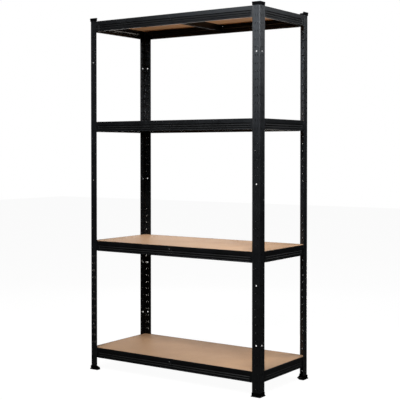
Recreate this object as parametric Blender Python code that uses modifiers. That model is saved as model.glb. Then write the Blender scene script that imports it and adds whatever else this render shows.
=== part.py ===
"""Boltless steel shelving: four corner posts in two halves, hook-in beams, four loose MDF boards.

Metres, +Z up. The origin is on the floor under the middle of the unit, +X runs along its width
and the front faces -Y.
"""

from math import cos, pi, radians, sin

import bmesh
import bpy
from mathutils import Matrix, Vector

# Overall size
WIDTH = 0.900               # over the posts' outer faces
DEPTH = 0.400
HEIGHT = 1.600              # floor to the top of the caps

# Fits
GAP = 0.0003                # between two pieces that touch
BOARD_CLEARANCE = 0.0007    # board edge to the beam's top fold

# Sheet steel and corner posts
STEEL = 0.0010
FLANGE = 0.036              # each leg of the corner post
BEND_RADIUS = 0.0035        # outside of the post's corner
BEND_STEPS = 3

# Slots punched along both flanges of every post
SLOT_PITCH = 0.0325
SLOT_HEIGHT = 0.009
SLOT_TOP_WIDTH = 0.0042
SLOT_FOOT_WIDTH = 0.0026
SLOT_FROM_EDGE = 0.013      # slot centre to the flange's free edge
LOWEST_SLOT = 0.027         # first slot above the lower half's foot end
HIGHEST_SLOT = 0.01805      # last slot below the upper half's top end
SLOT_FREE_END = 0.020       # least distance from a slot to the joint between the halves
HOLE_RADIUS = 0.003         # wall-fixing holes, beside the slots
HOLE_FROM_EDGE = 0.019
HOLE_SIDES = 10
HOLE_ROWS = {"lower": (5.5, 13), "upper": (5.5, -2)}   # in slot rows, -2 is the last but one

# Hooks that hold the beams in the slots
HOOK_MARGIN = 0.00675       # hook centre to the beam's top or bottom edge
HOOK_THICKNESS = 0.0016
HOOK_NECK = 0.0040          # height of the part that passes through the slot
HOOK_DROP = 0.0040          # how far the nose hangs below the slot
HOOK_NOSE = 0.0010

# Beams, roll-formed from one strip
BEAM_HEIGHT = SLOT_PITCH + 2 * HOOK_MARGIN
FOLD_WIDTH = 0.0031         # double fold along the top edge
LEDGE_REACH = 0.0145        # how far in the board ledge comes
LEDGE_RETURN = 0.0037       # turned-down edge of the ledge
GROOVE_TOP = 0.0200         # from the beam's top down to the pressed groove
GROOVE_FLOOR = 0.0055
GROOVE_DEPTH = 0.0025
LIP_REACH = 0.0090          # bottom lip
LIP_RETURN = 0.0035
GROOVE_SETBACK = 0.004      # flat stretch between a post's edge and the groove
TONGUE_OVERLAP = 0.010
TONGUE_STEP = 0.0002        # tongue set back from the beam's face
HALF_SHEET = STEEL / 2

# Boards and the bar under the middle of each one
BOARD_THICKNESS = 0.006
BOARD_EDGE_BEVEL = 0.0005
BAR_WIDTH = 0.014
BAR_DEPTH = 0.028
BAR_CLEARANCE = 0.001       # bar end to the ledges
BAR_SLOT_WIDTH = 0.0018
BAR_SLOT_TOP = 0.0120       # below the beam's top
BAR_SLOT_HEIGHT = 0.0220
BAR_HOOK_THICKNESS = 0.0008
BAR_HOOK_PLAY = 0.0022      # lift left above the hook in its slot
BAR_HOOK_DROP = 0.0020
BAR_HOOK_NOSE = 0.0009
BAR_HOOK_OVERLAP = 0.005

# Joint between a post's two halves
SPLICE_SHEET = 0.0012
SPLICE_REACH = 0.060        # along each half
SPLICE_EDGE = 0.004         # set back from the flange's free edge
PEG_WIDTH = 0.0016
PEG_HEIGHT = 0.005
PEG_SUNK = 0.0002           # peg end below the post's outer face

# Plastic caps and feet
CAP_HEIGHT = 0.014
CAP_HEAD = 0.005
CAP_ROOF = 0.003            # plastic above the post's end
CAP_WALL = 0.0015
CAP_BRIM = 0.0006           # head beyond the skirt
FOOT_HEIGHT = 0.017
FOOT_FLOOR = 0.003          # plastic under the post's end
FOOT_WALL = 0.0020
FOOT_BASE = 0.004
FOOT_FLARE = 0.0045         # base beyond the post
FOOT_WEB = 0.016            # where the base's inner corner is cut off

# Tiers from the bottom up: the half of the post and the slot that takes the beams' upper hooks.
# Slots of the lower half are counted from the floor, those of the upper half from the top.
TIERS = (("lower", 2), ("lower", 17), ("upper", 14), ("upper", 0))

POST_BOTTOM = FOOT_FLOOR + GAP
POST_TOP = HEIGHT - CAP_ROOF - GAP
HALF_LENGTH = (POST_TOP - POST_BOTTOM - GAP) / 2
UPPER_BOTTOM = POST_TOP - HALF_LENGTH
BEAM_FACE = STEEL + GAP     # post's outer face to the beam's face
LEDGE_DROP = BOARD_THICKNESS + GAP
SLOT_FROM_CORNER = FLANGE - SLOT_FROM_EDGE

# A section drawn as (inward, up) and extruded becomes a rail along X
SECTION_TO_RAIL = Matrix(((0, 0, 1, 0), (1, 0, 0, 0), (0, 1, 0, 0), (0, 0, 0, 1)))
QUARTER_TURN = pi / 2


def clear_scene():
    for thing in list(bpy.data.objects):
        bpy.data.objects.remove(thing)


def new_collection(name):
    collection = bpy.data.collections.new(name)
    bpy.context.scene.collection.children.link(collection)
    return collection


def new_material(name, colour, roughness, metallic):
    material = bpy.data.materials.new(name)
    material.use_nodes = True
    shader = material.node_tree.nodes["Principled BSDF"]
    shader.inputs["Base Color"].default_value = (*colour, 1)
    shader.inputs["Roughness"].default_value = roughness
    shader.inputs["Metallic"].default_value = metallic
    material.diffuse_color = (*colour, 1)
    return material


clear_scene()
shelving = new_collection("boltless_steel_shelving")
cutters = new_collection("cutters")
powder_coat = new_material("black_powder_coat", (0.020, 0.021, 0.024), 0.45, 0.3)
plastic = new_material("black_plastic", (0.008, 0.008, 0.009), 0.6, 0.0)
fibreboard = new_material("mdf", (0.52, 0.33, 0.19), 0.75, 0.0)


# ---- Shapes -----------------------------------------------------------------------------------

def evaluated_mesh(thing):
    """The object's mesh with its modifiers or curve settings worked in, at its own origin."""
    graph = bpy.context.evaluated_depsgraph_get()
    graph.update()
    return bpy.data.meshes.new_from_object(thing.evaluated_get(graph))


def tidy_normals(mesh):
    form = bmesh.new()
    form.from_mesh(mesh)
    bmesh.ops.remove_doubles(form, verts=form.verts, dist=1e-6)
    bmesh.ops.recalc_face_normals(form, faces=form.faces)
    form.to_mesh(mesh)
    form.free()
    return mesh


def extruded(outline, length):
    """A closed outline in XY, extruded along Z by half the length to each side."""
    curve = bpy.data.curves.new("outline", "CURVE")
    curve.dimensions = "2D"
    curve.fill_mode = "BOTH"
    curve.extrude = length / 2
    spline = curve.splines.new("POLY")
    spline.points.add(len(outline) - 1)
    for point, (x, y) in zip(spline.points, outline):
        point.co = (x, y, 0, 1)
    spline.use_cyclic_u = True
    thing = bpy.data.objects.new("outline", curve)
    cutters.objects.link(thing)
    mesh = evaluated_mesh(thing)
    bpy.data.objects.remove(thing)
    bpy.data.curves.remove(curve)
    return tidy_normals(mesh)


def sheet_section(centreline, thickness):
    """The outline of a folded sheet, mitred at each fold, from the line along its middle."""
    points = [Vector(point) for point in centreline]
    normals = []
    for start, end in zip(points, points[1:]):
        along = (end - start).normalized()
        normals.append(Vector((-along.y, along.x)))
    normals = [normals[0]] + normals + [normals[-1]]
    left, right = [], []
    for point, before, after in zip(points, normals, normals[1:]):
        mitre = (before + after) / (1 + before.dot(after)) * thickness / 2
        left.append(point + mitre)
        right.append(point - mitre)
    return [tuple(point) for point in left + right[::-1]]


def box(low, high):
    form = bmesh.new()
    bmesh.ops.create_cube(form, size=1)
    for vertex in form.verts:
        vertex.co = [a if side < 0 else b for a, b, side in zip(low, high, vertex.co)]
    mesh = bpy.data.meshes.new("box")
    form.to_mesh(mesh)
    form.free()
    return mesh


def centred_box(centre, size):
    half = Vector(size) / 2
    return box(Vector(centre) - half, Vector(centre) + half)


def grouped(meshes):
    """Separate closed shapes in one mesh."""
    form = bmesh.new()
    for mesh in meshes:
        form.from_mesh(mesh)
    together = bpy.data.meshes.new("group")
    form.to_mesh(together)
    form.free()
    return together


def moved(mesh, matrix):
    copy = mesh.copy()
    copy.transform(matrix)
    return copy


def combined(mesh, steps):
    """The mesh after each (operation, other mesh) in turn: UNION or DIFFERENCE."""
    target = bpy.data.objects.new("target", mesh)
    cutters.objects.link(target)
    tools = []
    for operation, other in steps:
        tool = bpy.data.objects.new("tool", other)
        tool.hide_render = True
        tool.display_type = "WIRE"
        cutters.objects.link(tool)
        tools.append(tool)
        modifier = target.modifiers.new(operation.lower(), "BOOLEAN")
        modifier.operation = operation
        modifier.solver = "EXACT"
        modifier.object = tool
    result = evaluated_mesh(target)
    for thing in [target, *tools]:
        bpy.data.objects.remove(thing)
    return result


def shade_folds_smooth(mesh):
    mesh.shade_smooth()
    mesh.set_sharp_from_angle(angle=radians(35))


# ---- Slot rows --------------------------------------------------------------------------------

def slot_rows(half):
    """Heights of the slot centres above the half's own lower end, counted as TIERS counts them."""
    margin = LOWEST_SLOT if half == "lower" else HIGHEST_SLOT
    count = int((HALF_LENGTH - SLOT_FREE_END - margin) / SLOT_PITCH) + 1
    if half == "lower":
        return [margin + SLOT_PITCH * index for index in range(count)]
    return [HALF_LENGTH - margin - SLOT_PITCH * index for index in range(count)]


def row_height(half, row):
    rows = slot_rows(half)
    whole = row if row >= 0 else len(rows) + row
    direction = 1 if half == "lower" else -1
    return rows[0] + direction * SLOT_PITCH * whole


def half_bottom(half):
    return POST_BOTTOM if half == "lower" else UPPER_BOTTOM


# ---- Corner posts, in the frame of their own corner: flanges along +X and +Y --------------------

def angle_section(inset, thickness, reach):
    """Centreline of an L, its outer faces inset from the post's and its legs ending at reach."""
    middle = inset + thickness / 2
    radius = BEND_RADIUS - middle
    line = [(reach, middle)]
    for step in range(BEND_STEPS + 1):
        turn = -QUARTER_TURN - QUARTER_TURN * step / BEND_STEPS
        line.append((BEND_RADIUS + radius * cos(turn), BEND_RADIUS + radius * sin(turn)))
    line.append((middle, reach))
    return sheet_section(line, thickness)


def on_both_flanges(shape):
    """The shape on the flange along X, and its mirror image on the flange along Y."""
    swap = Matrix(((0, 1, 0, 0), (1, 0, 0, 0), (0, 0, 1, 0), (0, 0, 0, 1)))
    twin = moved(shape, swap)
    twin.flip_normals()
    return [shape, twin]


def slot_cutter(height):
    cutter = centred_box((0, 0, 0), (SLOT_TOP_WIDTH, 6 * STEEL, SLOT_HEIGHT))
    for vertex in cutter.vertices:
        if vertex.co.z < 0:
            vertex.co.x *= SLOT_FOOT_WIDTH / SLOT_TOP_WIDTH
    cutter.transform(Matrix.Translation((SLOT_FROM_CORNER, HALF_SHEET, height)))
    return cutter


def hole_cutter(height):
    circle = [
        (HOLE_RADIUS * cos(2 * pi * step / HOLE_SIDES), HOLE_RADIUS * sin(2 * pi * step / HOLE_SIDES))
        for step in range(HOLE_SIDES)
    ]
    upright = Matrix.Rotation(QUARTER_TURN, 4, "X")
    place = Matrix.Translation((FLANGE - HOLE_FROM_EDGE, HALF_SHEET, height))
    return moved(extruded(circle, 6 * STEEL), place @ upright)


def post_half(half):
    cuts = []
    for height in slot_rows(half):
        cuts += on_both_flanges(slot_cutter(height))
    for row in HOLE_ROWS[half]:
        cuts += on_both_flanges(hole_cutter(row_height(half, row)))
    post = extruded(angle_section(0, STEEL, FLANGE), HALF_LENGTH)
    post.transform(Matrix.Translation((0, 0, HALF_LENGTH / 2)))
    post = combined(post, [("DIFFERENCE", grouped(cuts))])
    shade_folds_smooth(post)
    return post


def splice():
    """Angle bracket inside the joint of the two halves, its origin at the lower half's top end."""
    inset = STEEL + GAP
    bracket = extruded(angle_section(inset, SPLICE_SHEET, FLANGE - SPLICE_EDGE), 2 * SPLICE_REACH)
    end_slots = (
        row_height("lower", -1) - HALF_LENGTH,
        row_height("upper", -1) + GAP,
    )
    pegs = []
    for height in end_slots:
        peg = box(
            (SLOT_FROM_CORNER - PEG_WIDTH / 2, PEG_SUNK, height - PEG_HEIGHT / 2),
            (SLOT_FROM_CORNER + PEG_WIDTH / 2, inset + SPLICE_SHEET / 2, height + PEG_HEIGHT / 2),
        )
        pegs += on_both_flanges(peg)
    return combined(bracket, [("UNION", grouped(pegs))])


def angle_outline(outer, inner):
    """An L round the post's section, grown outwards and inwards."""
    near, far, inside = -outer, FLANGE + outer, STEEL + inner
    return [(near, near), (far, near), (far, inside), (inside, inside), (inside, far), (near, far)]


def prism(outline, bottom, top):
    mesh = extruded(outline, top - bottom)
    mesh.transform(Matrix.Translation((0, 0, (bottom + top) / 2)))
    return mesh


def post_socket():
    """The post's own section grown by the gap all round."""
    return angle_section(-GAP, STEEL + 2 * GAP, FLANGE + GAP)


def cap():
    """Push-on cap, its origin at its top."""
    skirt = GAP + CAP_WALL
    head = prism(angle_outline(skirt + CAP_BRIM, skirt + CAP_BRIM), -CAP_HEAD, 0)
    sleeve = prism(angle_outline(skirt, skirt), -CAP_HEIGHT, -CAP_HEAD / 2)
    socket = prism(post_socket(), -2 * CAP_HEIGHT, -CAP_ROOF)
    return combined(head, [("UNION", sleeve), ("DIFFERENCE", socket)])


def foot():
    """Flared foot, its origin on the floor."""
    near, far = -FOOT_FLARE, FLANGE + FOOT_FLARE
    base_outline = [(near, near), (far, near), (far, FOOT_WEB), (FOOT_WEB, far), (near, far)]
    base = prism(base_outline, 0, FOOT_BASE)
    collar = GAP + FOOT_WALL
    sleeve = prism(angle_outline(collar, collar), FOOT_BASE / 2, FOOT_HEIGHT)
    socket = prism(post_socket(), FOOT_FLOOR, 2 * FOOT_HEIGHT)
    return combined(base, [("UNION", sleeve), ("DIFFERENCE", socket)])


# ---- Beams: X along the beam, the face at Y = 0 looking to -Y, Z = 0 at the top edge -------------

def beam_section():
    face = HALF_SHEET
    fold = FOLD_WIDTH - HALF_SHEET
    ledge = -LEDGE_DROP - HALF_SHEET
    groove = -GROOVE_TOP
    line = [
        (LEDGE_REACH - HALF_SHEET, ledge - LEDGE_RETURN),
        (LEDGE_REACH - HALF_SHEET, ledge),
        (fold, ledge),
        (fold, -HALF_SHEET),
        (face, -HALF_SHEET),
        (face, groove),
        (face + GROOVE_DEPTH, groove - GROOVE_DEPTH),
        (face + GROOVE_DEPTH, groove - GROOVE_DEPTH - GROOVE_FLOOR),
        (face, groove - 2 * GROOVE_DEPTH - GROOVE_FLOOR),
        (face, -BEAM_HEIGHT + HALF_SHEET),
        (LIP_REACH - HALF_SHEET, -BEAM_HEIGHT + HALF_SHEET),
        (LIP_REACH - HALF_SHEET, -BEAM_HEIGHT + HALF_SHEET + LIP_RETURN),
    ]
    return sheet_section(line, STEEL)


def hook(centre):
    """One hook on its row's centre: out through the slot, then down the post's outer face."""
    neck_bottom = centre - SLOT_HEIGHT / 2 + GAP
    neck_top = neck_bottom + HOOK_NECK
    nose_bottom = neck_bottom - HOOK_DROP
    inner = -BEAM_FACE - GAP
    outline = [
        (TONGUE_STEP + HALF_SHEET, neck_top),
        (inner - HOOK_NOSE, neck_top),
        (inner - HOOK_NOSE, nose_bottom),
        (inner, nose_bottom),
        (inner, neck_bottom),
        (TONGUE_STEP + HALF_SHEET, neck_bottom),
    ]
    return moved(extruded(outline, HOOK_THICKNESS), SECTION_TO_RAIL)


def bar_slots():
    """The pair of slots at the middle of a long beam that the crossbar hooks into."""
    bottom = -BAR_SLOT_TOP - BAR_SLOT_HEIGHT
    slots = []
    for side in (-1, 1):
        middle = side * (BAR_WIDTH / 2 - HALF_SHEET)
        slots.append(box(
            (middle - BAR_SLOT_WIDTH / 2, -STEEL, bottom),
            (middle + BAR_SLOT_WIDTH / 2, GROOVE_DEPTH + 2 * STEEL, -BAR_SLOT_TOP),
        ))
    return grouped(slots)


def beam(span, takes_crossbar):
    """A beam between two posts whose outer faces are span apart."""
    groove_end = span / 2 - FLANGE - GROOVE_SETBACK
    tongue_end = span / 2 - BEND_RADIUS - GAP
    hook_place = span / 2 - SLOT_FROM_CORNER
    tongues, hooks = [], []
    for side in (-1, 1):
        start, end = sorted((side * (groove_end - TONGUE_OVERLAP), side * tongue_end))
        tongues.append(box(
            (start, TONGUE_STEP, -BEAM_HEIGHT + TONGUE_STEP),
            (end, TONGUE_STEP + STEEL, -TONGUE_STEP),
        ))
        for height in (-HOOK_MARGIN, -HOOK_MARGIN - SLOT_PITCH):
            hooks.append(moved(hook(height), Matrix.Translation((side * hook_place, 0, 0))))
    rail = moved(extruded(beam_section(), 2 * groove_end), SECTION_TO_RAIL)
    steps = [("UNION", grouped(tongues)), ("UNION", grouped(hooks))]
    if takes_crossbar:
        steps.append(("DIFFERENCE", bar_slots()))
    return combined(rail, steps)


def crossbar():
    """Inverted channel from front to back under the board, Z = 0 at the beams' top edge."""
    side = BAR_WIDTH / 2 - HALF_SHEET
    top = -LEDGE_DROP - HALF_SHEET
    bottom = -LEDGE_DROP - BAR_DEPTH
    channel = sheet_section([(-side, bottom), (-side, top), (side, top), (side, bottom)], STEEL)
    half_length = DEPTH / 2 - BEAM_FACE - LEDGE_REACH - BAR_CLEARANCE
    bar = moved(extruded(channel, 2 * half_length), Matrix.Rotation(QUARTER_TURN, 4, "X"))

    hook_top = -BAR_SLOT_TOP - BAR_HOOK_PLAY
    neck_bottom = -BAR_SLOT_TOP - BAR_SLOT_HEIGHT + GAP
    nose_bottom = neck_bottom - GAP - BAR_HOOK_DROP
    inner_end = LEDGE_REACH + BAR_CLEARANCE + BAR_HOOK_OVERLAP
    outline = [
        (inner_end, hook_top),
        (-GAP - BAR_HOOK_NOSE, hook_top),
        (-GAP - BAR_HOOK_NOSE, nose_bottom),
        (-GAP, nose_bottom),
        (-GAP, neck_bottom),
        (inner_end, neck_bottom),
    ]
    blade = moved(extruded(outline, BAR_HOOK_THICKNESS), SECTION_TO_RAIL)
    blade.transform(Matrix.Translation((0, BEAM_FACE - DEPTH / 2, 0)))
    blades = []
    for place in (-side, side):
        front = moved(blade, Matrix.Translation((place, 0, 0)))
        blades += [front, moved(front, Matrix.Rotation(pi, 4, "Z"))]
    return combined(bar, [("UNION", grouped(blades))])


def board():
    inset = BEAM_FACE + FOLD_WIDTH + BOARD_CLEARANCE
    return box(
        (inset - WIDTH / 2, inset - DEPTH / 2, -BOARD_THICKNESS),
        (WIDTH / 2 - inset, DEPTH / 2 - inset, 0),
    )


# ---- Assembly ---------------------------------------------------------------------------------

def place(name, mesh, material, parent, location=(0, 0, 0), turn=0.0):
    thing = bpy.data.objects.new(name, mesh)
    if not mesh.materials:
        mesh.materials.append(material)
    thing.location = location
    thing.rotation_euler = (0, 0, turn)
    thing.parent = parent
    shelving.objects.link(thing)
    return thing


def empty(name, location, turn=0.0):
    thing = bpy.data.objects.new(name, None)
    thing.location = location
    thing.rotation_euler = (0, 0, turn)
    shelving.objects.link(thing)
    return thing


def build_posts():
    lower, upper = post_half("lower"), post_half("upper")
    bracket, top_cap, foot_mesh = splice(), cap(), foot()
    corners = {
        "front_left": (-1, -1),
        "front_right": (1, -1),
        "rear_right": (1, 1),
        "rear_left": (-1, 1),
    }
    for index, (corner, (x, y)) in enumerate(corners.items()):
        axis = empty(f"corner_{corner}", (x * WIDTH / 2, y * DEPTH / 2, 0), index * QUARTER_TURN)
        place(f"foot_{corner}", foot_mesh, plastic, axis)
        place(f"post_{corner}_lower", lower, powder_coat, axis, (0, 0, POST_BOTTOM))
        place(f"post_{corner}_upper", upper, powder_coat, axis, (0, 0, UPPER_BOTTOM))
        place(f"splice_{corner}", bracket, powder_coat, axis, (0, 0, POST_BOTTOM + HALF_LENGTH))
        place(f"cap_{corner}", top_cap, plastic, axis, (0, 0, HEIGHT))


def build_tiers():
    long_beam, side_beam = beam(WIDTH, True), beam(DEPTH, False)
    bar, board_mesh = crossbar(), board()
    face_x, face_y = WIDTH / 2 - BEAM_FACE, DEPTH / 2 - BEAM_FACE
    for number, (half, row) in enumerate(TIERS, start=1):
        top = half_bottom(half) + row_height(half, row) + HOOK_MARGIN
        level = empty(f"tier_{number}", (0, 0, top))
        place(f"beam_front_{number}", long_beam, powder_coat, level, (0, -face_y, 0))
        place(f"beam_rear_{number}", long_beam, powder_coat, level, (0, face_y, 0), pi)
        place(f"beam_right_{number}", side_beam, powder_coat, level, (face_x, 0, 0), QUARTER_TURN)
        place(f"beam_left_{number}", side_beam, powder_coat, level, (-face_x, 0, 0), -QUARTER_TURN)
        place(f"crossbar_{number}", bar, powder_coat, level)
        panel = place(f"board_{number}", board_mesh, fibreboard, level)
        edge = panel.modifiers.new("eased_edges", "BEVEL")
        edge.width = BOARD_EDGE_BEVEL
        edge.segments = 1


build_posts()
build_tiers()
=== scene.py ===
from math import cos, pi, radians, sin, tan

import bmesh
import bpy
from mathutils import Matrix, Vector


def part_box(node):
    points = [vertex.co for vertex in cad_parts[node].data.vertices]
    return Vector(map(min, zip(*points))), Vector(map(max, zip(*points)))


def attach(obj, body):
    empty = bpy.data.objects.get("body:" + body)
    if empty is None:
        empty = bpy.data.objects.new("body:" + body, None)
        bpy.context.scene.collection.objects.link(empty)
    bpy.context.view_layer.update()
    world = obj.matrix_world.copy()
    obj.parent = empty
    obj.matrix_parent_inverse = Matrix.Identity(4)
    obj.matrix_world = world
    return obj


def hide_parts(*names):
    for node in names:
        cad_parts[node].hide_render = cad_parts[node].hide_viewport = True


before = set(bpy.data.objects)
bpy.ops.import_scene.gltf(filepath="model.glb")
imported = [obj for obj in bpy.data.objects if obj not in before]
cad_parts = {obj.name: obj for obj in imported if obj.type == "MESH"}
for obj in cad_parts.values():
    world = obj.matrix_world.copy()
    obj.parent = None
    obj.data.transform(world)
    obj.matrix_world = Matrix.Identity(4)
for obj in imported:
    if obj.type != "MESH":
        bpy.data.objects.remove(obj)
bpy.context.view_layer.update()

scene = bpy.context.scene
looks = bpy.data.collections.new("shelvingLooks")
scene.collection.children.link(looks)
print("shelving: packed frame loaded,", len(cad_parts), "nodes")


# Shader groups. Each one is made once and placed in the materials with its own values.

def newGroup(name, inputs, outputs):
    group = bpy.data.node_groups.new(name, "ShaderNodeTree")
    for label, value in inputs.items():
        socket = group.interface.new_socket(name=label, in_out="INPUT", socket_type="NodeSocketFloat")
        socket.default_value = value
    for label in outputs:
        group.interface.new_socket(name=label, in_out="OUTPUT", socket_type="NodeSocketFloat")
    return group, group.nodes.new("NodeGroupInput"), group.nodes.new("NodeGroupOutput")


def addNode(tree, kind, settings=None, values=None, links=None):
    # one node with its settings, unlinked values and incoming links, all by name
    node = tree.nodes.new(kind)
    for name, value in (settings or {}).items():
        setattr(node, name, value)
    for name, value in (values or {}).items():
        node.inputs[name].default_value = value
    for name, source in (links or {}).items():
        tree.links.new(source, node.inputs[name])
    return node


def makeGrainGroup():
    # fine stipple as height, and a slow cloudy tone
    group, given, result = newGroup("fineGrain", {"Grain": 900.0, "Cloud": 6.0}, ("Height", "Tone"))
    place = addNode(group, "ShaderNodeTexCoord")
    fine = addNode(group, "ShaderNodeTexNoise", values={"Detail": 2.0, "Roughness": 0.55},
                   links={"Vector": place.outputs["Object"], "Scale": given.outputs["Grain"]})
    cloud = addNode(group, "ShaderNodeTexNoise", values={"Detail": 4.0, "Roughness": 0.6},
                    links={"Vector": place.outputs["Object"], "Scale": given.outputs["Cloud"]})
    group.links.new(fine.outputs["Fac"], result.inputs["Height"])
    group.links.new(cloud.outputs["Fac"], result.inputs["Tone"])
    return group


def makeEdgeGroup():
    # white along edges sharper than the given radius, broken up by noise: the mask of rubbed wear and
    # painted edge highlight
    group, given, result = newGroup("edgeWearAndHighlight", {"Radius": 0.001, "Breakup": 60.0}, ("Mask",))
    place = addNode(group, "ShaderNodeTexCoord")
    face = addNode(group, "ShaderNodeNewGeometry")
    softened = addNode(group, "ShaderNodeBevel", settings={"samples": 4},
                       links={"Radius": given.outputs["Radius"]})
    turn = addNode(group, "ShaderNodeVectorMath", settings={"operation": "DOT_PRODUCT"})
    group.links.new(face.outputs["Normal"], turn.inputs[0])
    group.links.new(softened.outputs["Normal"], turn.inputs[1])
    edge = addNode(group, "ShaderNodeMapRange",
                   values={"From Min": 0.995, "From Max": 0.86, "To Min": 0.0, "To Max": 1.0},
                   links={"Value": turn.outputs["Value"]})
    patches = addNode(group, "ShaderNodeTexNoise", values={"Detail": 3.0},
                      links={"Vector": place.outputs["Object"], "Scale": given.outputs["Breakup"]})
    broken = addNode(group, "ShaderNodeMapRange", values={"From Min": 0.38, "From Max": 0.62},
                     links={"Value": patches.outputs["Fac"]})
    both = addNode(group, "ShaderNodeMath", settings={"operation": "MULTIPLY"})
    group.links.new(edge.outputs["Result"], both.inputs[0])
    group.links.new(broken.outputs["Result"], both.inputs[1])
    group.links.new(both.outputs["Value"], result.inputs["Mask"])
    return group


def makeDustGroup():
    # thin film on what faces up, patchy
    group, given, result = newGroup("settledDust", {"Cover": 0.3, "Patches": 25.0}, ("Mask",))
    place = addNode(group, "ShaderNodeTexCoord")
    face = addNode(group, "ShaderNodeNewGeometry")
    axes = addNode(group, "ShaderNodeSeparateXYZ", links={"Vector": face.outputs["Normal"]})
    upward = addNode(group, "ShaderNodeMapRange", values={"From Min": 0.55, "From Max": 1.0},
                     links={"Value": axes.outputs["Z"]})
    patches = addNode(group, "ShaderNodeTexNoise", values={"Detail": 6.0, "Roughness": 0.7},
                      links={"Vector": place.outputs["Object"], "Scale": given.outputs["Patches"]})
    thick = addNode(group, "ShaderNodeMath", settings={"operation": "MULTIPLY"})
    group.links.new(upward.outputs["Result"], thick.inputs[0])
    group.links.new(patches.outputs["Fac"], thick.inputs[1])
    film = addNode(group, "ShaderNodeMath", settings={"operation": "MULTIPLY"})
    group.links.new(thick.outputs["Value"], film.inputs[0])
    group.links.new(given.outputs["Cover"], film.inputs[1])
    group.links.new(film.outputs["Value"], result.inputs["Mask"])
    return group


def makeRecessGroup():
    # white down in slots, folds and grooves: the mask of painted shade, laid where shade falls in recesses
    group, given, result = newGroup("paintedRecessShade", {"Reach": 0.006}, ("Mask",))
    hollow = addNode(group, "ShaderNodeAmbientOcclusion", settings={"samples": 8},
                     links={"Distance": given.outputs["Reach"]})
    deep = addNode(group, "ShaderNodeMapRange",
                   values={"From Min": 0.85, "From Max": 0.30, "To Min": 0.0, "To Max": 1.0},
                   links={"Value": hollow.outputs["AO"]})
    group.links.new(deep.outputs["Result"], result.inputs["Mask"])
    return group


fineGrain = makeGrainGroup()
edgeWearAndHighlight = makeEdgeGroup()
settledDust = makeDustGroup()
paintedRecessShade = makeRecessGroup()


def useGroup(tree, group, values):
    node = tree.nodes.new("ShaderNodeGroup")
    node.node_tree = group
    for name, value in values.items():
        node.inputs[name].default_value = value
    return node


def newMaterial(name, values):
    material = bpy.data.materials.new(name)
    material.use_nodes = True
    shader = material.node_tree.nodes["Principled BSDF"]
    for label, value in values.items():
        shader.inputs[label].default_value = value
    return material, material.node_tree, shader


def blendColours(tree, mask, low, high):
    # low where the mask is black and high where it is white, each a colour or an output
    mix = addNode(tree, "ShaderNodeMix", settings={"data_type": "RGBA"})
    tree.links.new(mask, mix.inputs[0])
    for slot, colour in ((6, low), (7, high)):
        if isinstance(colour, bpy.types.NodeSocket):
            tree.links.new(colour, mix.inputs[slot])
        else:
            mix.inputs[slot].default_value = (*colour, 1)
    return mix.outputs[2]


# Powder coat on the posts and the beams
coat = {
    "postColour": (0.0028, 0.0031, 0.0037),
    "postTint": (0.0045, 0.0050, 0.0058),      # where the film is thinner
    "beamColour": (0.0014, 0.0015, 0.0018),
    "beamTint": (0.0026, 0.0028, 0.0033),
    "wornAndHighlit": (0.030, 0.032, 0.036),             # rubbed edges, not down to bare steel, and a painted highlight along the edges
    "dust": (0.30, 0.29, 0.27),
    # painted shade: near-black colour laid into slots, folds and grooves
    "paintedShade": (0.0012, 0.0012, 0.0011),
    "postShine": 0.50,
    "beamShine": 0.36,
    "gloss": (0.31, 0.43),                     # roughness, least and most
    "peel": 0.00006,                           # height of the orange peel
}


def powderCoat(name, colour, tint, shine):
    material, tree, shader = newMaterial(name, {"Metallic": 0.0, "IOR": 1.5, "Specular IOR Level": shine})
    grain = useGroup(tree, fineGrain, {"Grain": 750.0, "Cloud": 9.0})
    wearAndHighlight = useGroup(tree, edgeWearAndHighlight, {"Radius": 0.0007, "Breakup": 90.0})
    dust = useGroup(tree, settledDust, {"Cover": 0.14, "Patches": 40.0})
    cloudy = addNode(tree, "ShaderNodeMapRange", values={"From Min": 0.32, "From Max": 0.68},
                     links={"Value": grain.outputs["Tone"]})
    base = blendColours(tree, cloudy.outputs["Result"], colour, tint)
    # edges lightened: rubbed wear and painted edge highlight
    base = blendColours(tree, wearAndHighlight.outputs["Mask"], base, coat["wornAndHighlit"])
    base = blendColours(tree, dust.outputs["Mask"], base, coat["dust"])
    # painted shade: the coat darkened in slots, folds and grooves by ambient occlusion
    paintedShade = useGroup(tree, paintedRecessShade, {"Reach": 0.005})
    base = blendColours(tree, paintedShade.outputs["Mask"], base, coat["paintedShade"])
    tree.links.new(base, shader.inputs["Base Color"])
    matt = addNode(tree, "ShaderNodeMapRange",
                   values={"From Min": 0.3, "From Max": 0.7,
                           "To Min": coat["gloss"][0], "To Max": coat["gloss"][1]},
                   links={"Value": grain.outputs["Tone"]})
    tree.links.new(matt.outputs["Result"], shader.inputs["Roughness"])
    bump = addNode(tree, "ShaderNodeBump", values={"Strength": 0.6, "Distance": coat["peel"]},
                   links={"Height": grain.outputs["Height"]})
    tree.links.new(bump.outputs["Normal"], shader.inputs["Normal"])
    return material


# Moulded caps and feet
moulding = {
    "colour": (0.0006, 0.0006, 0.0008),
    "tint": (0.0014, 0.0014, 0.0017),
    "dust": (0.05, 0.049, 0.047),
    "gloss": (0.68, 0.82),
    "stipple": 0.00008,
}


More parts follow.
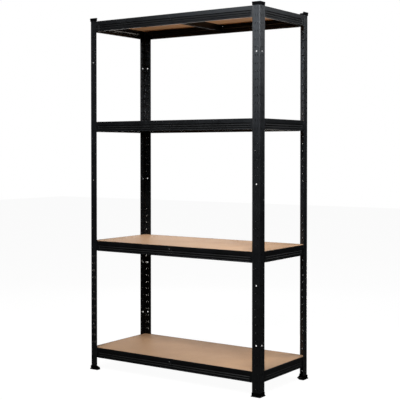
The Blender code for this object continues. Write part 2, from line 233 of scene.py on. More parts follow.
def mouldedPlastic(name):
    material, tree, shader = newMaterial(name, {"Metallic": 0.0, "IOR": 1.46, "Specular IOR Level": 0.04})
    grain = useGroup(tree, fineGrain, {"Grain": 1600.0, "Cloud": 30.0})
    dust = useGroup(tree, settledDust, {"Cover": 0.10, "Patches": 70.0})
    base = blendColours(tree, grain.outputs["Tone"], moulding["colour"], moulding["tint"])
    base = blendColours(tree, dust.outputs["Mask"], base, moulding["dust"])
    tree.links.new(base, shader.inputs["Base Color"])
    matt = addNode(tree, "ShaderNodeMapRange",
                   values={"From Min": 0.3, "From Max": 0.7,
                           "To Min": moulding["gloss"][0], "To Max": moulding["gloss"][1]},
                   links={"Value": grain.outputs["Tone"]})
    tree.links.new(matt.outputs["Result"], shader.inputs["Roughness"])
    bump = addNode(tree, "ShaderNodeBump", values={"Strength": 0.5, "Distance": moulding["stipple"]},
                   links={"Height": grain.outputs["Height"]})
    tree.links.new(bump.outputs["Normal"], shader.inputs["Normal"])
    return material


# Raw MDF, smooth pressed faces and a darker, hairier cut edge
fibre = {
    "face": (0.430, 0.244, 0.120),
    "faceDark": (0.360, 0.200, 0.100),
    "fleck": (0.225, 0.120, 0.057),
    "cutEdge": (0.300, 0.165, 0.082),
    "dust": (0.50, 0.43, 0.36),
    "gloss": (0.46, 0.62),
    "fuzz": 0.00005,
}


def rawFibreboard(name):
    material, tree, shader = newMaterial(name, {"Metallic": 0.0, "IOR": 1.45, "Specular IOR Level": 0.20,
                                                "Sheen Weight": 0.05, "Sheen Roughness": 0.5})
    grain = useGroup(tree, fineGrain, {"Grain": 520.0, "Cloud": 5.0})
    dust = useGroup(tree, settledDust, {"Cover": 0.16, "Patches": 9.0})
    place = addNode(tree, "ShaderNodeTexCoord")
    # short fibres lying every way: two stretched noises crossed
    strands = []
    for turn in (25.0, -50.0):
        aim = addNode(tree, "ShaderNodeMapping",
                      values={"Rotation": (0, 0, radians(turn)), "Scale": (260.0, 1500.0, 900.0)},
                      links={"Vector": place.outputs["Object"]})
        strands.append(addNode(tree, "ShaderNodeTexNoise", values={"Scale": 1.0, "Detail": 2.0},
                               links={"Vector": aim.outputs["Vector"]}))
    crossed = addNode(tree, "ShaderNodeMath", settings={"operation": "MAXIMUM"})
    tree.links.new(strands[0].outputs["Fac"], crossed.inputs[0])
    tree.links.new(strands[1].outputs["Fac"], crossed.inputs[1])
    cloudy = addNode(tree, "ShaderNodeMapRange", values={"From Min": 0.3, "From Max": 0.7},
                     links={"Value": grain.outputs["Tone"]})
    base = blendColours(tree, cloudy.outputs["Result"], fibre["faceDark"], fibre["face"])
    fleck = addNode(tree, "ShaderNodeMapRange", values={"From Min": 0.60, "From Max": 0.78, "To Max": 0.55},
                    links={"Value": crossed.outputs["Value"]})
    base = blendColours(tree, fleck.outputs["Result"], base, fibre["fleck"])
    side = addNode(tree, "ShaderNodeNewGeometry")
    axes = addNode(tree, "ShaderNodeSeparateXYZ", links={"Vector": side.outputs["Normal"]})
    flat = addNode(tree, "ShaderNodeMath", settings={"operation": "ABSOLUTE"}, links={0: axes.outputs["Z"]})
    cut = addNode(tree, "ShaderNodeMapRange",
                  values={"From Min": 0.75, "From Max": 0.35, "To Min": 0.0, "To Max": 1.0},
                  links={"Value": flat.outputs["Value"]})
    base = blendColours(tree, cut.outputs["Result"], base, fibre["cutEdge"])
    base = blendColours(tree, dust.outputs["Mask"], base, fibre["dust"])
    tree.links.new(base, shader.inputs["Base Color"])
    matt = addNode(tree, "ShaderNodeMapRange",
                   values={"From Min": 0.3, "From Max": 0.7,
                           "To Min": fibre["gloss"][0], "To Max": fibre["gloss"][1]},
                   links={"Value": crossed.outputs["Value"]})
    tree.links.new(matt.outputs["Result"], shader.inputs["Roughness"])
    bump = addNode(tree, "ShaderNodeBump", values={"Strength": 0.5, "Distance": fibre["fuzz"]},
                   links={"Height": crossed.outputs["Value"]})
    tree.links.new(bump.outputs["Normal"], shader.inputs["Normal"])
    return material


finishes = {
    "powder_coated_post": powderCoat("postPowderCoat", coat["postColour"], coat["postTint"],
                                     coat["postShine"]),
    "powder_coated_beam": powderCoat("beamPowderCoat", coat["beamColour"], coat["beamTint"],
                                     coat["beamShine"]),
    "black_plastic": mouldedPlastic("mouldedBlackPlastic"),
    "mdf_board": rawFibreboard("rawFibreboard"),
}
print("shelving: materials made,", ", ".join(finishes))


# Mesh helpers

def toMesh(form, name):
    bmesh.ops.recalc_face_normals(form, faces=form.faces)
    mesh = bpy.data.meshes.new(name)
    form.to_mesh(mesh)
    form.free()
    return mesh


def rounded(points, radius, steps, closed=False):
    # the line with each corner turned into short pieces, the same count at every corner
    line = []
    least = 0.00008          # a corner that is nearly straight still keeps its points apart
    sideShare = 0.46         # most of a side that one corner may take
    for index, point in enumerate(points):
        if not closed and index in (0, len(points) - 1):
            line.append(Vector(point))
            continue
        point = Vector(point)
        before = Vector(points[index - 1]) - point
        after = Vector(points[(index + 1) % len(points)]) - point
        turn = pi - before.angle(after)
        cut = min(max(radius * tan(turn / 2), least), sideShare * min(before.length, after.length))
        start, end = point + before.normalized() * cut, point + after.normalized() * cut
        for step in range(steps + 1):
            share = step / steps
            line.append(start.lerp(point, share).lerp(point.lerp(end, share), share))
    return line


def sheetOutline(line, thickness):
    # closed outline of a folded sheet from the line along its middle
    normals = []
    for start, end in zip(line, line[1:]):
        along = (end - start).normalized()
        normals.append(Vector((-along.y, along.x)))
    normals = [normals[0]] + normals + [normals[-1]]
    left, right = [], []
    for point, before, after in zip(line, normals, normals[1:]):
        mitre = (before + after) / (1 + before.dot(after)) * thickness / 2
        left.append(point + mitre)
        right.append(point - mitre)
    return left + right[::-1]


def prism(outline, low, high):
    # a flat outline in XY pushed up from low to high
    form = bmesh.new()
    face = form.faces.new([form.verts.new((x, y, low)) for x, y in outline])
    raised = bmesh.ops.extrude_face_region(form, geom=[face])["geom"]
    tops = [part for part in raised if isinstance(part, bmesh.types.BMVert)]
    bmesh.ops.translate(form, verts=tops, vec=(0, 0, high - low))
    return toMesh(form, "prism")


def loft(rings):
    # closed skin over rings of (outline, height) with the same number of points
    form = bmesh.new()
    rows = [[form.verts.new((x, y, height)) for x, y in outline] for outline, height in rings]
    for lower, upper in zip(rows, rows[1:]):
        for index in range(len(lower)):
            after = (index + 1) % len(lower)
            form.faces.new((lower[index], lower[after], upper[after], upper[index]))
    form.faces.new(rows[0][::-1])
    form.faces.new(rows[-1])
    return toMesh(form, "loft")


def moved(mesh, matrix):
    copy = mesh.copy()
    copy.transform(matrix)
    if matrix.determinant() < 0:
        copy.flip_normals()
    return copy


def grouped(meshes):
    form = bmesh.new()
    for mesh in meshes:
        form.from_mesh(mesh)
    return toMesh(form, "group")


def evaluated(thing):
    graph = bpy.context.evaluated_depsgraph_get()
    graph.update()
    return bpy.data.meshes.new_from_object(thing.evaluated_get(graph))


def shaped(mesh, steps):
    # the mesh after each step: a boolean with another mesh, or a modifier with its settings
    target = bpy.data.objects.new("work", mesh)
    looks.objects.link(target)
    helpers = []
    for how, what in steps:
        if isinstance(what, dict):
            modifier = target.modifiers.new(how.lower(), how)
            for name, value in what.items():
                setattr(modifier, name, value)
            continue
        helper = bpy.data.objects.new("helper", what)
        looks.objects.link(helper)
        helpers.append(helper)
        modifier = target.modifiers.new(how.lower(), "BOOLEAN")
        modifier.operation = how
        modifier.object = helper
    result = evaluated(target)
    for thing in [target, *helpers]:
        bpy.data.objects.remove(thing)
    return result


railAxes = Matrix(((0, 0, 1, 0), (1, 0, 0, 0), (0, 1, 0, 0), (0, 0, 0, 1)))    # (inward, up) runs along X
uprightAxes = Matrix(((1, 0, 0, 0), (0, 0, -1, 0), (0, 1, 0, 0), (0, 0, 0, 1)))  # (along, up) faces -Y
swapFlanges = Matrix(((0, 1, 0, 0), (1, 0, 0, 0), (0, 0, 1, 0), (0, 0, 0, 1)))


def standIn(node, mesh, location, turn, slotName, body="frame", foldAngle=34):
    # the piece that is shown for a CAD node, in its place, on its body
    piece = bpy.data.objects.new(f"{node}_shown", mesh)
    looks.objects.link(piece)
    if not mesh.materials:
        mesh.materials.append(finishes[slotName])
        mesh.shade_smooth()
        mesh.set_sharp_from_angle(angle=radians(foldAngle))
    normals = piece.modifiers.new("facesKeepFlat", "WEIGHTED_NORMAL")
    normals.keep_sharp = True
    piece.location = location
    piece.rotation_euler.z = turn
    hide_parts(node)
    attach(piece, body)


# Where the corners and the tiers are

corners = {"front_left": (-1, -1), "front_right": (1, -1), "rear_right": (1, 1), "rear_left": (-1, 1)}
sides = {"front": (0, -1), "right": (1, 0), "rear": (0, 1), "left": (-1, 0)}
tiers = (1, 2, 3, 4)
quarterTurn = pi / 2


def cornerOf(corner):
    # outer corner of a post, and how far its frame is turned
    low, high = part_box(f"post_{corner}_lower")
    x, y = corners[corner]
    turn = list(corners).index(corner) * quarterTurn
    return (high.x if x > 0 else low.x, high.y if y > 0 else low.y), turn


def spanOf(node):
    low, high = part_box(node)
    return low.z, high.z


# Corner posts, made in the frame of their own corner: flanges along +X and +Y, foot end at 0
post = {
    "sheet": 0.0010,
    "bend": 0.0032,             # radius of the corner along the sheet's middle
    "lipWidth": 0.0046,         # free edge of each flange, turned out a little
    "lipOut": 0.0012,           # stays inside the skirt of the cap
    "pitch": 0.0325,
    "firstRow": 0.027,          # from the foot end
    "lastRow": 0.01805,         # from the top end
    "freeEnd": 0.020,
    "slotHeight": 0.009,
    "slotTop": 0.0031,
    "slotFoot": 0.0020,
    "slotTilt": 9.0,            # degrees; the two of a pair lean together at the foot
    "slotRound": 0.0012,
    "slotCut": (-0.004, 0.006),    # reach of the punch, out and in
    "slotFromCorner": (0.011, 0.023),
    "rimDepth": 0.0036,         # edge of a slot pressed in, clear of a board being lifted
    "rimWall": 0.0005,
    "hole": 0.0031,
    "holeCut": 0.004,
    "holeFromCorner": 0.017,
    "holeRows": {"lower": (5.5, 13), "upper": (5.5, 22)},
}
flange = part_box("post_front_left_lower")[1].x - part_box("post_front_left_lower")[0].x


def postLine(grow=0.0):
    middle, reach = post["sheet"] / 2, flange + grow
    edge = flange - post["lipWidth"]
    outward = middle - post["lipOut"]
    corner = [(reach, outward), (edge, middle), (middle, middle), (middle, edge), (outward, reach)]
    return rounded(corner, post["bend"], 6)


def slotPrism(along, lean, height, grow, inner, outer):
    # a teardrop standing through the flange along X, from inner to outer across the sheet
    top, foot, half = (post[name] / 2 + grow for name in ("slotTop", "slotFoot", "slotHeight"))
    drop = rounded([(-foot, -half), (foot, -half), (top, half), (-top, half)],
                   post["slotRound"], 3, closed=True)
    body = prism(drop, -outer, -inner)
    spin = Matrix.Rotation(radians(lean), 4, "Z")
    return moved(body, Matrix.Translation((along, 0, height)) @ uprightAxes @ spin)


def bothFlanges(mesh):
    return [mesh, moved(mesh, swapFlanges)]


def rowHeights(half, length):
    if half == "lower":
        count = int((length - post["freeEnd"] - post["firstRow"]) / post["pitch"]) + 1
        return [post["firstRow"] + post["pitch"] * index for index in range(count)]
    count = int((length - post["freeEnd"] - post["lastRow"]) / post["pitch"]) + 1
    return [length - post["lastRow"] - post["pitch"] * index for index in range(count)]


def makePost(half):
    bottom, top = spanOf(f"post_front_left_{half}")
    length = top - bottom
    rows = rowHeights(half, length)
    filled = [spanOf(f"beam_front_{tier}") for tier in tiers] + [spanOf("splice_front_left")]
    rims, cuts = [], []
    for height in rows:
        backed = any(low < bottom + height < high for low, high in filled)
        for along, lean in zip(post["slotFromCorner"], (-post["slotTilt"], post["slotTilt"])):
            cuts += bothFlanges(slotPrism(along, lean, height, 0, *post["slotCut"]))
            if not backed:
                rim = (post["sheet"] / 2, post["sheet"] + post["rimDepth"])
                rims += bothFlanges(slotPrism(along, lean, height, post["rimWall"], *rim))
    step = post["pitch"] if half == "lower" else -post["pitch"]
    for row in post["holeRows"][half]:
        turns = [turn * pi / 10 for turn in range(20)]
        circle = [(post["hole"] * cos(turn), post["hole"] * sin(turn)) for turn in turns]
        hole = moved(prism(circle, -post["holeCut"], post["holeCut"]),
                     Matrix.Translation((post["holeFromCorner"], 0, rows[0] + step * row)) @ uprightAxes)
        cuts += bothFlanges(hole)
    steel = prism(sheetOutline(postLine(), post["sheet"]), 0, length)
    return shaped(steel, [("UNION", grouped(rims)), ("DIFFERENCE", grouped(cuts))])


for half in ("lower", "upper"):
    steel = makePost(half)
    for corner in corners:
        node = f"post_{corner}_{half}"
        (x, y), turn = cornerOf(corner)
        standIn(node, steel, (x, y, spanOf(node)[0]), turn, "powder_coated_post")
print("shelving: posts pressed and slotted")


# Brackets inside the joint of a post's two halves
splice = {
    "sheet": 0.0012,
    "gap": 0.0003,
    "edge": 0.004,              # short of the flange's free edge
    "peg": 0.0016,
    "pegHeight": 0.005,
    "pegSunk": 0.0002,
    "pegRound": 0.0006,
    "tightest": 0.0012,         # least radius of the bracket's own bend
    "corner": 0.0030,
}


def makeSplice():
    low, high = spanOf("splice_front_left")
    joint = spanOf("post_front_left_lower")[1]
    middle = post["sheet"] + splice["gap"] + splice["sheet"] / 2
    reach = flange - splice["edge"]
    bend = max(post["bend"] - middle + post["sheet"] / 2, splice["tightest"])
    line = rounded([(reach, middle), (middle, middle), (middle, reach)], bend, 6)
    bracket = prism(sheetOutline(line, splice["sheet"]), low - joint, high - joint)
    # round off the four free corners
    tall, radius = (high - low) / 2, splice["corner"]
    centre = (low + high) / 2 - joint
    face = [(-0.01, -tall), (reach, -tall), (reach, tall), (-0.01, tall)]
    mask = prism(rounded(face, radius, 5, closed=True), -0.05, 0.05)
    place = Matrix.Translation((0, 0, centre)) @ uprightAxes
    masks = [moved(mask, place), moved(mask, swapFlanges @ place)]
    lowerBottom = spanOf("post_front_left_lower")[0]
    lowerRows = rowHeights("lower", joint - lowerBottom)
    upperBottom, upperTop = spanOf("post_front_left_upper")
    upperRows = rowHeights("upper", upperTop - upperBottom)
    pegs = []
    x, y = splice["peg"] / 2, splice["pegHeight"] / 2
    outline = rounded([(-x, -y), (x, -y), (x, y), (-x, y)], splice["pegRound"], 3, closed=True)
    for height in (lowerBottom + lowerRows[-1] - joint, upperBottom + upperRows[-1] - joint):
        peg = prism(outline, -middle, -splice["pegSunk"])
        place = Matrix.Translation((post["slotFromCorner"][1], 0, height)) @ uprightAxes
        pegs += bothFlanges(moved(peg, place))
    steps = [("INTERSECT", mask) for mask in masks] + [("UNION", grouped(pegs))]
    return shaped(bracket, steps), joint


bracket, jointHeight = makeSplice()
for corner in corners:
    (x, y), turn = cornerOf(corner)
    standIn(f"splice_{corner}", bracket, (x, y, jointHeight), turn, "powder_coated_post")
print("shelving: splice brackets set")


# Plastic caps and feet, pushed on the ends of the posts
plug = {
    "play": 0.0003,
    "wall": 0.0015,
    "brim": 0.0006,
    "head": 0.005,
    "roof": 0.003,
    "round": 0.0024,            # rounding of the outline's corners
    "ease": 0.0008,             # rounding of the rim
    "footFloor": 0.003,
    "footWall": 0.0020,
    "footFlare": 0.0045,
    "footWeb": 0.016,
}


def angleRing(outer, inner, web=None):
    # rounded L round the post's section; web moves its inner corner out, as the foot's base has it
    near, far = -outer, flange + outer
    inside = web or post["sheet"] + inner
    middle = (far + inside) / 2 if web else inside
    corner = [(near, near), (far, near), (far, inside), (middle, middle), (inside, far), (near, far)]
    return rounded(corner, plug["round"], 4, closed=True)


def postSocket(low, high):
    return prism(sheetOutline(postLine(plug["play"]), post["sheet"] + 2 * plug["play"]), low, high)


def makeCap():
    low, high = spanOf("cap_front_left")
    skirt, ease = plug["play"] + plug["wall"], plug["ease"]
    brim = skirt + plug["brim"]
    head = loft([
        (angleRing(brim - 0.0003, brim - 0.0003), -plug["head"]),
        (angleRing(brim, brim), -plug["head"] + 0.0004),
        (angleRing(brim, brim), -ease),
        (angleRing(brim - 0.3 * ease, brim - 0.3 * ease), -0.3 * ease),
        (angleRing(brim - ease, brim - ease), 0),
    ])
    sleeve = loft([
        (angleRing(skirt - 0.0005, skirt - 0.0005), low - high),
        (angleRing(skirt, skirt), low - high + 0.0005),
        (angleRing(skirt, skirt), -plug["head"] / 2),
    ])
    socket = postSocket(2 * (low - high), -plug["roof"])
    return shaped(head, [("UNION", sleeve), ("DIFFERENCE", socket)])


def makeFoot():
    low, high = spanOf("foot_front_left")
    collar, flare, web = plug["play"] + plug["footWall"], plug["footFlare"], plug["footWeb"]
    base = loft([
        (angleRing(flare - 0.0007, 0, web), low),
        (angleRing(flare, 0, web), low + 0.0007),
        (angleRing(flare, 0, web), low + 0.0030),
        (angleRing(flare - 0.0005, 0, web), low + 0.0038),
        (angleRing(collar, collar + 0.003, 0.010), low + 0.0062),
        (angleRing(collar, collar), low + 0.0100),
        (angleRing(collar, collar), high - 0.0006),
        (angleRing(collar - 0.0006, collar - 0.0006), high),
    ])
    return shaped(base, [("DIFFERENCE", postSocket(plug["footFloor"], 2 * high))])


capMesh, footMesh = makeCap(), makeFoot()
for corner in corners:
    (x, y), turn = cornerOf(corner)
    standIn(f"cap_{corner}", capMesh, (x, y, spanOf(f"cap_{corner}")[1]), turn, "black_plastic")
    standIn(f"foot_{corner}", footMesh, (x, y, 0), turn, "black_plastic")
print("shelving: caps and feet on")


# Beams: X runs along the beam, the face looks to -Y at Y = 0, Z = 0 is the top edge
beam = {
    "sheet": 0.0010,
    "behindPost": 0.0013,       # post's outer face to the beam's face
    "fold": 0.0031,             # double top edge
    "ledgeDrop": 0.0063,
    "ledgeReach": 0.0145,
    "ledgeReturn": 0.0037,
    "grooves": (0.0176, 0.0270),   # where each groove starts below the top
    "grooveIn": 0.0030,         # its upper slope
    "grooveFlat": 0.0012,
    "grooveOut": 0.0036,        # its lower slope, which faces up
    "grooveDepth": 0.0029,
    "lowerLean": 0.0012,        # the face leans in below the grooves, to a bead along the foot
    "beadTop": 0.0052,
    "beadFoot": 0.0024,
    "footLean": 0.6,            # share of the lean that is left at the foot
    "lipReach": 0.0090,
    "lipReturn": 0.0035,
    "foldRadius": 0.0009,
    "foldSteps": 3,
    "toNotch": 0.004,           # post's edge to the end of the folded length
    "fadeStart": 0.001,         # flat stretch past that, then the grooves come in
    "fadeLength": 0.014,
    "tongueEnd": 0.0038,        # tongue stops this far from the corner
    "hookRows": (0.00675, 0.03925),
    "hook": 0.0015,
    "hookProud": 0.0010,
    "hookNeck": 0.0040,
    "hookDrop": 0.0040,
    "hookRoot": 0.0006,         # how far into the sheet the hook starts
    "hookPlay": 0.0002,
    "hookSeat": 0.0003,         # above the foot of its slot
    "hookRound": 0.0006,
    "barSlotRound": 0.0008,
    "barSlotCut": 0.006,
    "barSlot": (0.0018, 0.0120, 0.0340),   # width, top and foot below the beam's top
    "barSides": 0.0065,
}


def beamLine(depth, height):
    # middle of the sheet as (inward, up), with the grooves pressed to a share of their depth
    half = beam["sheet"] / 2
    ledge, fold = -beam["ledgeDrop"] - half, beam["fold"] - half
    line = [
        (beam["ledgeReach"] - half, ledge - beam["ledgeReturn"]),
        (beam["ledgeReach"] - half, ledge),
        (fold, ledge),
        (fold, -half),
        (half, -half),
    ]
    deep = half + depth * beam["grooveDepth"]
    for start in beam["grooves"]:
        low = -start
        slopes = ((half, 0), (deep, beam["grooveIn"]), (deep, beam["grooveFlat"]), (half, beam["grooveOut"]))
        for inward, drop in slopes:
            low -= drop
            line.append((inward, low))
    lean = depth * beam["lowerLean"]
    line += [
        (half + lean, -height + beam["beadTop"]),
        (half, -height + beam["beadFoot"]),
        (half + beam["footLean"] * lean, -height + half),
        (beam["lipReach"] - half, -height + half),
        (beam["lipReach"] - half, -height + half + beam["lipReturn"]),
    ]
    return rounded(line, beam["foldRadius"], beam["foldSteps"])


def beamStations(span):
    # places along half a beam, and how deep the grooves are there
    notch = span / 2 - flange - beam["toNotch"]
    start = notch - beam["fadeStart"]
    ends = [(span / 2 - beam["tongueEnd"], 0), (notch, 0), (start, 0)]
    steps = 8
    for step in range(1, steps + 1):
        share = step / steps
        ends.append((start - beam["fadeLength"] * share, share * share * (3 - 2 * share)))
    half = ends + [(beam["barSides"] * 2, 1)]
    return [(-x, depth) for x, depth in half] + [(x, depth) for x, depth in half[::-1]], notch


def makeBeam(span, takesCrossbar):
    height = sum(beam["hookRows"])      # same margin above and below; the hooks hang lower
    stations, notch = beamStations(span)
    form = bmesh.new()
    rows = []
    for x, depth in stations:
        rows.append([form.verts.new((x, inward, up)) for inward, up in beamLine(depth, height)])
    corner = beam["foldSteps"] + 1
    # last point of the top fold and first of the lip, between which the tongue runs on
    faceTop, faceFoot = 4 * corner, len(rows[0]) - 1 - 2 * corner
    for (x, _), (nextX, _), row, after in zip(stations, stations[1:], rows, rows[1:]):
        tongue = min(abs(x), abs(nextX)) >= notch - 1e-6
        for index in range(len(row) - 1):
            if tongue and not faceTop <= index < faceFoot:
                continue
            form.faces.new((row[index], row[index + 1], after[index + 1], after[index]))
    loose = [vertex for vertex in form.verts if not vertex.link_faces]
    bmesh.ops.delete(form, geom=loose, context="VERTS")
    sheet = toMesh(form, "beam")
    hooks = []
    inner = -beam["behindPost"] - beam["hookPlay"]
    for side in (-1, 1):
        for fromCorner in post["slotFromCorner"]:
            for row in beam["hookRows"]:
                foot = -row - post["slotHeight"] / 2 + beam["hookSeat"]
                outline = rounded([
                    (beam["hookRoot"], foot + beam["hookNeck"]),
                    (inner - beam["hookProud"], foot + beam["hookNeck"]),
                    (inner - beam["hookProud"], foot - beam["hookDrop"]),
                    (inner, foot - beam["hookDrop"]),
                    (inner, foot),
                    (beam["hookRoot"], foot),
                ], beam["hookRound"], 3, closed=True)
                blade = prism(outline, -beam["hook"] / 2, beam["hook"] / 2)
                place = Matrix.Translation((side * (span / 2 - fromCorner), 0, 0))
                hooks.append(moved(blade, place @ railAxes))
    steps = [("SOLIDIFY", {"thickness": beam["sheet"], "offset": 0.0, "use_even_offset": True}),
             ("UNION", grouped(hooks))]
    if takesCrossbar:
        width, top, foot = beam["barSlot"]
        outline = [(-width / 2, -foot), (width / 2, -foot), (width / 2, -top), (-width / 2, -top)]
        slot = prism(rounded(outline, beam["barSlotRound"], 3, closed=True),
                     -beam["barSlotCut"], beam["barSlotCut"])
        pair = [moved(slot, Matrix.Translation((x, 0, 0)) @ uprightAxes)
                for x in (-beam["barSides"], beam["barSides"])]
        steps.append(("DIFFERENCE", grouped(pair)))
    return shaped(sheet, steps)


frameLow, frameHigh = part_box("post_front_left_lower")[0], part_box("post_rear_right_lower")[1]
width, depth = frameHigh.x - frameLow.x, frameHigh.y - frameLow.y
longBeam = makeBeam(width, True)
sideBeam = makeBeam(depth, False)
for index, (side, (x, y)) in enumerate(sides.items()):
    place = (x * (width / 2 - beam["behindPost"]), y * (depth / 2 - beam["behindPost"]))
    for tier in tiers:
        node = f"beam_{side}_{tier}"
        steel = longBeam if side in ("front", "rear") else sideBeam
        standIn(node, steel, (*place, spanOf(node)[1]), index * quarterTurn, "powder_coated_beam")
print("shelving: beams rolled and hooked in")


# Bar from front to back under each board
bar = {
    "sheet": 0.0010,
    "width": 0.014,
    "depth": 0.028,
    "clearance": 0.001,
    "bend": 0.0014,
    "blade": 0.0008,
    "nose": 0.0009,
    "noseDrop": 0.0020,
    "play": 0.0022,
    "overlap": 0.005,
    "gap": 0.0003,
    "round": 0.0008,
}


def makeBar():
    half = bar["sheet"] / 2
    side, top = bar["width"] / 2 - half, -beam["ledgeDrop"] - half
    bottom = -beam["ledgeDrop"] - bar["depth"]
    line = rounded([(-side, bottom), (-side, top), (side, top), (side, bottom)], bar["bend"], 5)
    reach = depth / 2 - beam["behindPost"] - beam["ledgeReach"] - bar["clearance"]
    channel = moved(prism(sheetOutline(line, bar["sheet"]), -reach, reach),
                    Matrix.Rotation(quarterTurn, 4, "X"))
    slotTop, slotFoot = beam["barSlot"][1:]
    hookTop, neckFoot = -slotTop - bar["play"], -slotFoot + bar["gap"]
    outline = rounded([
        (beam["ledgeReach"] + bar["clearance"] + bar["overlap"], hookTop),
        (-bar["gap"] - bar["nose"], hookTop),
        (-bar["gap"] - bar["nose"], neckFoot - bar["noseDrop"]),
        (-bar["gap"], neckFoot - bar["noseDrop"]),
        (-bar["gap"], neckFoot),
        (beam["ledgeReach"] + bar["clearance"] + bar["overlap"], neckFoot),
    ], bar["round"], 3, closed=True)
    blade = moved(prism(outline, -bar["blade"] / 2, bar["blade"] / 2), railAxes)
    blade.transform(Matrix.Translation((0, beam["behindPost"] - depth / 2, 0)))
    blades = []
    for place in (-side, side):
        front = moved(blade, Matrix.Translation((place, 0, 0)))
        blades += [front, moved(front, Matrix.Rotation(pi, 4, "Z"))]
    return shaped(channel, [("UNION", grouped(blades))])


barMesh = makeBar()
for tier in tiers:
    standIn(f"crossbar_{tier}", barMesh, (0, 0, spanOf(f"beam_front_{tier}")[1]), 0, "powder_coated_beam")
print("shelving: crossbars in")


# Loose boards
board = {"corner": 0.0015, "ease": 0.0005}


def makeBoard():
    low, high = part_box("board_1")
    size = high - low
    x, y = size.x / 2, size.y / 2
    ease = board["ease"]

    def outline(inset):
        left, near = inset - x, inset - y
        return rounded([(left, near), (-left, near), (-left, -near), (left, -near)],
                       board["corner"], 5, closed=True)

    rings = [(outline(ease), 0), (outline(0.3 * ease), 0.3 * ease), (outline(0), ease)]
    rings += [(ring, size.z - height) for ring, height in rings[::-1]]
    return loft(rings)


boardMesh = makeBoard()
for tier in tiers:
    node = f"board_{tier}"
    standIn(node, boardMesh, (0, 0, spanOf(node)[0]), 0, "mdf_board", body=f"shelf_{tier}")
print("shelving: boards laid")


# Studio
studio = {
    "floorSize": 24.0,
    "floorGlow": 0.90,           # keeps the floor pale while the shadow on it stays faint
    "floorBright": 1.06,
    "floorColour": (0.80, 0.80, 0.80),
    "floorBounce": (0.05, 0.05, 0.05),   # what the floor gives back to the steel
    "sky": (0.90, 0.95, 1.0),
    "skyStrength": 0.035,
    "key": {"location": (1.15, -1.10, 2.10), "aim": (0.45, -0.20, 1.52), "size": 0.6, "power": 15.0,
            "spread": 90.0, "colour": (0.88, 0.94, 1.0)},
    "frontBox": {"location": (-0.45, -2.05, 2.10), "aim": (0.45, -0.20, 1.50), "size": 1.1, "power": 5.0,
                 "spread": 110.0, "colour": (0.80, 0.89, 1.0)},
    "sideBox": {"location": (1.95, 1.20, 2.05), "aim": (0.45, -0.20, 1.50), "size": 1.0, "power": 3.0,
                "spread": 110.0, "colour": (0.90, 0.95, 1.0)},
    "fill": {"location": (0.3, -2.9, 3.6), "aim": (0.0, 0.0, 0.4), "size": 1.6, "power": 122.0,
             "colour": (1.0, 0.96, 0.90)},
    "top": {"location": (2.2, 1.2, 3.4), "aim": (0.0, 0.0, 0.5), "size": 1.6, "power": 52.0,
            "colour": (1.0, 0.98, 0.96)},
    "rear": {"location": (0.15, 1.25, 0.20), "aim": (0.0, 0.0, 1.5), "size": 0.5, "power": 16.0,
             "colour": (1.0, 0.93, 0.85)},
    "sheen": {"location": (-1.5, 2.0, 1.25), "aim": (-0.2, 0.0, 0.6), "size": 1.2, "power": 10.0,
              "colour": (1.0, 0.98, 0.97)},
}


def addLight(name):
    look = studio[name]
    lamp = bpy.data.lights.new(name + "Light", "AREA")
    lamp.shape = "SQUARE"
    lamp.size = look["size"]
    lamp.energy = look["power"]
    lamp.color = look["colour"]
    lamp.spread = radians(look.get("spread", 180.0))
    thing = bpy.data.objects.new(name + "Light", lamp)
    thing.location = look["location"]
    aim = Vector(look["aim"]) - Vector(look["location"])
    thing.rotation_euler = aim.to_track_quat("-Z", "Y").to_euler()
    thing.visible_camera = False
    scene.collection.objects.link(thing)


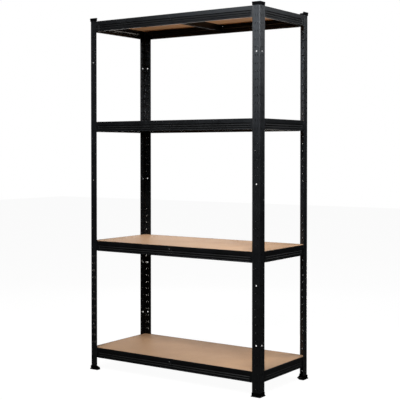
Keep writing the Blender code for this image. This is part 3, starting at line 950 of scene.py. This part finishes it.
def addFloor():
    form = bmesh.new()
    bmesh.ops.create_grid(form, x_segments=1, y_segments=1, size=studio["floorSize"] / 2)
    floor = bpy.data.objects.new("studioFloor", toMesh(form, "studioFloor"))
    material = bpy.data.materials.new("paleFloor")
    material.use_nodes = True
    tree = material.node_tree
    tree.nodes.clear()
    glow = addNode(tree, "ShaderNodeEmission",
                   values={"Color": (1, 1, 1, 1), "Strength": studio["floorBright"]})
    seen = addNode(tree, "ShaderNodeLightPath")
    tone = blendColours(tree, seen.outputs["Is Camera Ray"], studio["floorBounce"], studio["floorColour"])
    paint = addNode(tree, "ShaderNodeBsdfDiffuse", links={"Color": tone})
    share = addNode(tree, "ShaderNodeMath", settings={"operation": "MULTIPLY"},
                    values={1: studio["floorGlow"]}, links={0: seen.outputs["Is Camera Ray"]})
    mix = addNode(tree, "ShaderNodeMixShader", links={"Fac": share.outputs["Value"]})
    tree.links.new(paint.outputs["BSDF"], mix.inputs[1])
    tree.links.new(glow.outputs["Emission"], mix.inputs[2])
    addNode(tree, "ShaderNodeOutputMaterial", links={"Surface": mix.outputs["Shader"]})
    floor.data.materials.append(material)
    looks.objects.link(floor)


def addBackdrop():
    world = bpy.data.worlds.new("studioWorld")
    world.use_nodes = True
    tree = world.node_tree
    tree.nodes.clear()
    white = addNode(tree, "ShaderNodeBackground", values={"Color": (1, 1, 1, 1), "Strength": 1.0})
    sky = addNode(tree, "ShaderNodeBackground",
                  values={"Color": (*studio["sky"], 1), "Strength": studio["skyStrength"]})
    seen = addNode(tree, "ShaderNodeLightPath")
    mix = addNode(tree, "ShaderNodeMixShader", links={"Fac": seen.outputs["Is Camera Ray"]})
    tree.links.new(sky.outputs["Background"], mix.inputs[1])
    tree.links.new(white.outputs["Background"], mix.inputs[2])
    addNode(tree, "ShaderNodeOutputWorld", links={"Surface": mix.outputs["Shader"]})
    scene.world = world


camera = {
    "location": (2.4378, -3.4828, 0.9984),
    "tilt": 88.967,
    "turn": 34.797,
    "lens": 85.70,
    "rise": -0.08,               # lens shift that keeps the posts upright
}


def addCamera():
    lens = bpy.data.cameras.new("shelvingCamera")
    lens.lens = camera["lens"]
    lens.sensor_width = 36.0
    lens.shift_y = camera["rise"]
    thing = bpy.data.objects.new("shelvingCamera", lens)
    thing.location = camera["location"]
    thing.rotation_euler = (radians(camera["tilt"]), 0, radians(camera["turn"]))
    scene.collection.objects.link(thing)
    scene.camera = thing


addFloor()
addBackdrop()
for name in ("key", "frontBox", "sideBox", "fill", "top", "rear", "sheen"):
    addLight(name)
addCamera()
scene.view_settings.view_transform = "Standard"
print("shelving: studio lit")
